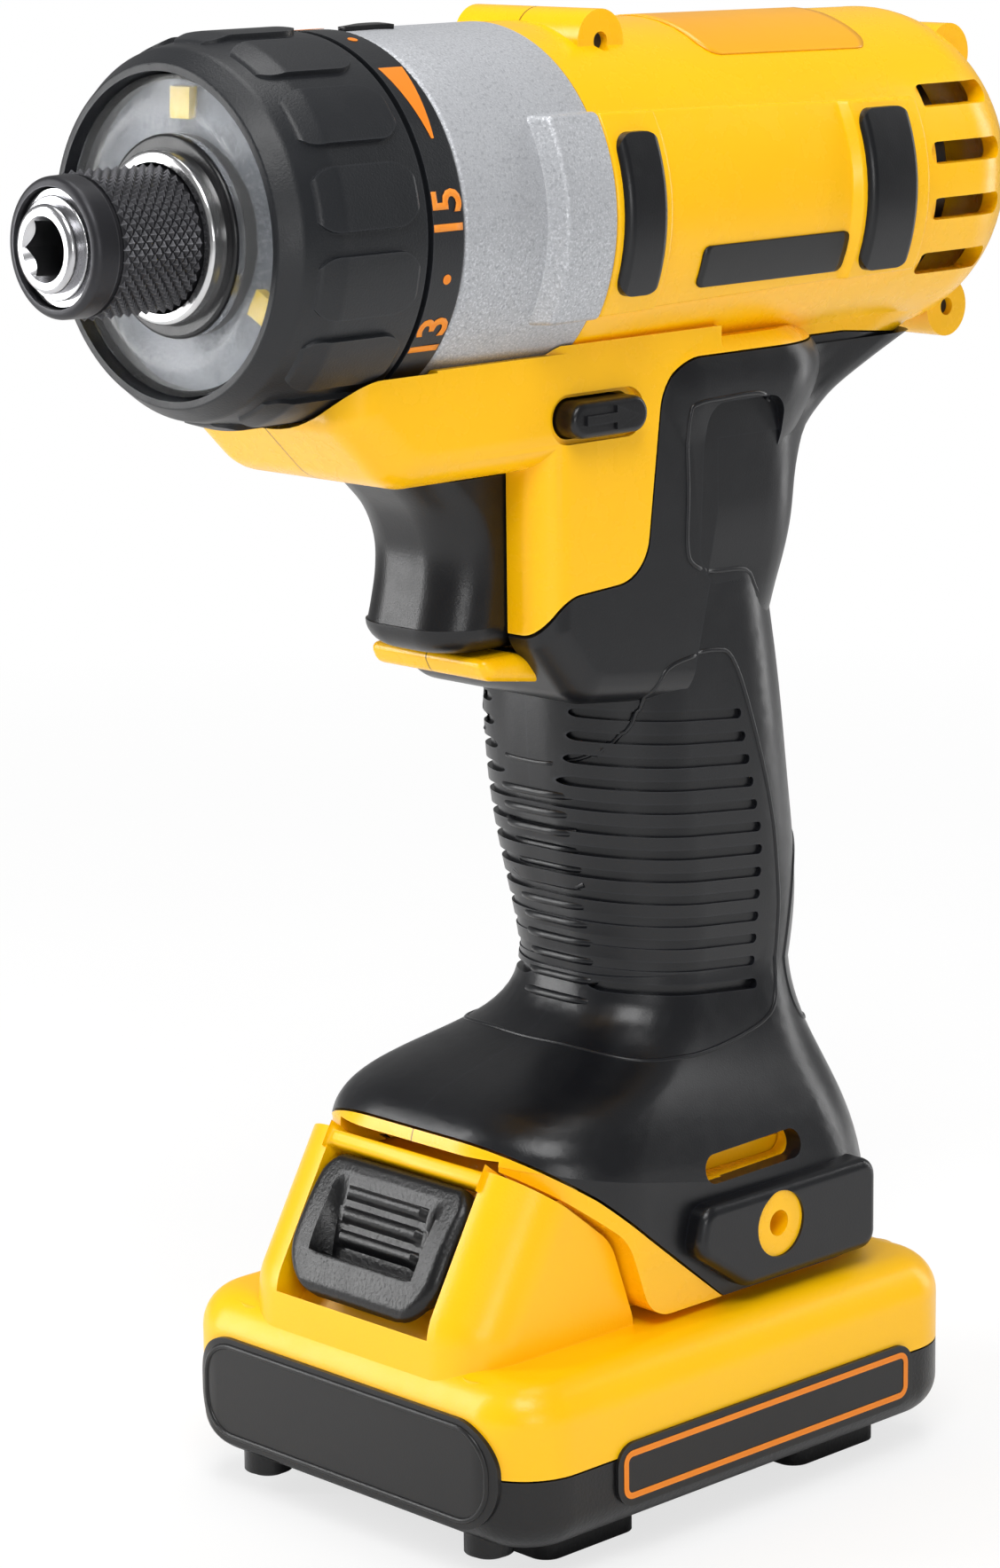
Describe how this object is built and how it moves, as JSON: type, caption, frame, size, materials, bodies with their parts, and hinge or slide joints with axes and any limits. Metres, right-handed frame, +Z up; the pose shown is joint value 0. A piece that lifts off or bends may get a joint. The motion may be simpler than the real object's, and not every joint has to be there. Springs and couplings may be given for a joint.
{
  "type": "cordless drill",
  "caption": "Compact pistol-grip cordless drill driver with a hex bit holder, numbered torque collar, lamp ring, trigger and slide-off battery pack.",
  "frame": {"origin": "centre of the bounding box at the ground under the battery pack", "axes": "+X towards the nose, +Y to the tool's left, +Z up"},
  "size_m": [0.155, 0.067, 0.1927],
  "materials": {
    "yellow_shell": "moulded, semi gloss",
    "soft_grip": "soft touch, matt",
    "grey_casing": "fine metallic grain",
    "black_plastic": "fine grain",
    "black_steel": "black oxide",
    "steel": "turned",
    "bronze": "sintered",
    "clear_lens": "clear moulded",
    "led": "phosphor",
    "board": "solder mask",
    "copper": "wound",
    "magnet": "sintered",
    "laminations": "stacked",
    "carbon": "pressed",
    "white_plastic": "moulded",
    "brass": "stamped",
    "wire": "insulated",
    "cell": "wrapped",
    "zinc": "die cast"
  },
  "bodies": {
    "housing": {"left_housing": "yellow_shell", "right_housing": "yellow_shell", "left_grip": "soft_grip", "right_grip": "soft_grip", "barrel_bumpers": "soft_grip", "housing_screws": "black_steel", "hook_bosses": "yellow_shell", "gearbox_casing": "grey_casing", "gearbox_plate": "steel", "bearing_bushes": "bronze", "first_ring_gear": "steel", "second_ring_gear": "steel", "clutch_pins": "steel", "clutch_spring": "steel", "lens_holder": "black_plastic", "led_board": "board", "leds": "led", "led_lens": "clear_lens", "nose_ring": "zinc", "motor_can": "steel", "motor_magnets": "magnet", "motor_end_cap": "white_plastic", "carbon_brushes": "carbon", "trigger_spring": "steel", "switch_body": "black_plastic", "leads": "wire", "terminal_block": "black_plastic", "terminal_blades": "brass"},
    "rotor": {"motor_shaft": "steel", "motor_pinion": "steel", "armature_core": "laminations", "armature_windings": "copper", "commutator": "copper", "cooling_fan": "white_plastic"},
    "first_carrier": {"first_carrier": "steel"},
    "spindle": {"output_spindle": "steel", "second_carrier": "steel", "detent_ball": "steel", "sleeve_clip": "black_steel", "sleeve_spring": "steel"},
    "sleeve": {"bit_sleeve": "black_steel"},
    "collar": {"torque_collar": "black_plastic"},
    "clutch_nut": {"clutch_nut": "white_plastic"},
    "trigger": {"trigger": "black_plastic"},
    "selector": {"direction_selector": "black_plastic"},
    "pack": {"pack_cover": "yellow_shell", "pack_tray": "black_plastic", "pack_screws": "black_steel", "cells": "cell", "pack_board": "board", "front_plate": "black_plastic", "side_plates": "black_plastic"},
    "latch": {"pack_latch": "black_plastic"},
    "first_planet_a": {"first_planet_a": "steel"},
    "first_planet_b": {"first_planet_b": "steel"},
    "first_planet_c": {"first_planet_c": "steel"},
    "second_planet_a": {"second_planet_a": "steel"},
    "second_planet_b": {"second_planet_b": "steel"},
    "second_planet_c": {"second_planet_c": "steel"}
  },
  "joints": [
    {"name": "motor_spin", "type": "hinge", "parent": "housing", "child": "rotor", "pos_m": [0, 0, 0.1685], "axis": [1, 0, 0], "continuous": true},
    {"name": "first_carrier_spin", "type": "hinge", "parent": "housing", "child": "first_carrier", "pos_m": [0, 0, 0.1685], "axis": [1, 0, 0], "continuous": true},
    {"name": "spindle_spin", "type": "hinge", "parent": "housing", "child": "spindle", "pos_m": [0, 0, 0.1685], "axis": [1, 0, 0], "continuous": true},
    {"name": "first_planet_a_spin", "type": "hinge", "parent": "first_carrier", "child": "first_planet_a", "pos_m": [0, 0, 0.179], "axis": [1, 0, 0], "continuous": true},
    {"name": "first_planet_b_spin", "type": "hinge", "parent": "first_carrier", "child": "first_planet_b", "pos_m": [0, -0.00909, 0.16325], "axis": [1, 0, 0], "continuous": true},
    {"name": "first_planet_c_spin", "type": "hinge", "parent": "first_carrier", "child": "first_planet_c", "pos_m": [0, 0.00909, 0.16325], "axis": [1, 0, 0], "continuous": true},
    {"name": "second_planet_a_spin", "type": "hinge", "parent": "spindle", "child": "second_planet_a", "pos_m": [0, 0, 0.179], "axis": [1, 0, 0], "continuous": true},
    {"name": "second_planet_b_spin", "type": "hinge", "parent": "spindle", "child": "second_planet_b", "pos_m": [0, -0.00909, 0.16325], "axis": [1, 0, 0], "continuous": true},
    {"name": "second_planet_c_spin", "type": "hinge", "parent": "spindle", "child": "second_planet_c", "pos_m": [0, 0.00909, 0.16325], "axis": [1, 0, 0], "continuous": true},
    {"name": "sleeve_slide", "type": "slide", "parent": "spindle", "child": "sleeve", "axis": [1, 0, 0], "range_m": [0, 0.003], "stiffness_N_per_m": 900, "deforming": ["sleeve_spring"]},
    {"name": "collar_turn", "type": "hinge", "parent": "housing", "child": "collar", "pos_m": [0, 0, 0.1685], "axis": [-1, 0, 0], "range_deg": [0, 312]},
    {"name": "clutch_nut_slide", "type": "slide", "parent": "collar", "child": "clutch_nut", "axis": [-1, 0, 0], "range_m": [0, 0.0062], "deforming": ["clutch_spring"]},
    {"name": "trigger_slide", "type": "slide", "parent": "housing", "child": "trigger", "axis": [-1, 0, 0], "range_m": [0, 0.006], "stiffness_N_per_m": 600, "deforming": ["trigger_spring"]},
    {"name": "selector_slide", "type": "slide", "parent": "housing", "child": "selector", "axis": [0, 1, 0], "range_m": [-0.003, 0.003]},
    {"name": "pack_slide", "type": "slide", "parent": "housing", "child": "pack", "axis": [1, 0, 0], "range_m": [0, 0.08]},
    {"name": "latch_press", "type": "slide", "parent": "pack", "child": "latch", "axis": [0.6145, 0, -0.7889], "range_m": [0, 0.0025], "stiffness_N_per_m": 900}
  ],
  "couplings": [
    {"joint": "first_carrier_spin", "follows": "motor_spin", "ratio": 0.25},
    {"joint": "spindle_spin", "follows": "motor_spin", "ratio": 0.0625},
    {"joint": "first_planet_a_spin", "follows": "motor_spin", "ratio": -0.75},
    {"joint": "first_planet_b_spin", "follows": "motor_spin", "ratio": -0.75},
    {"joint": "first_planet_c_spin", "follows": "motor_spin", "ratio": -0.75},
    {"joint": "second_planet_a_spin", "follows": "motor_spin", "ratio": -0.1875},
    {"joint": "second_planet_b_spin", "follows": "motor_spin", "ratio": -0.1875},
    {"joint": "second_planet_c_spin", "follows": "motor_spin", "ratio": -0.1875},
    {"joint": "clutch_nut_slide", "follows": "collar_turn", "m_per_rad": 0.0011018}
  ]
}
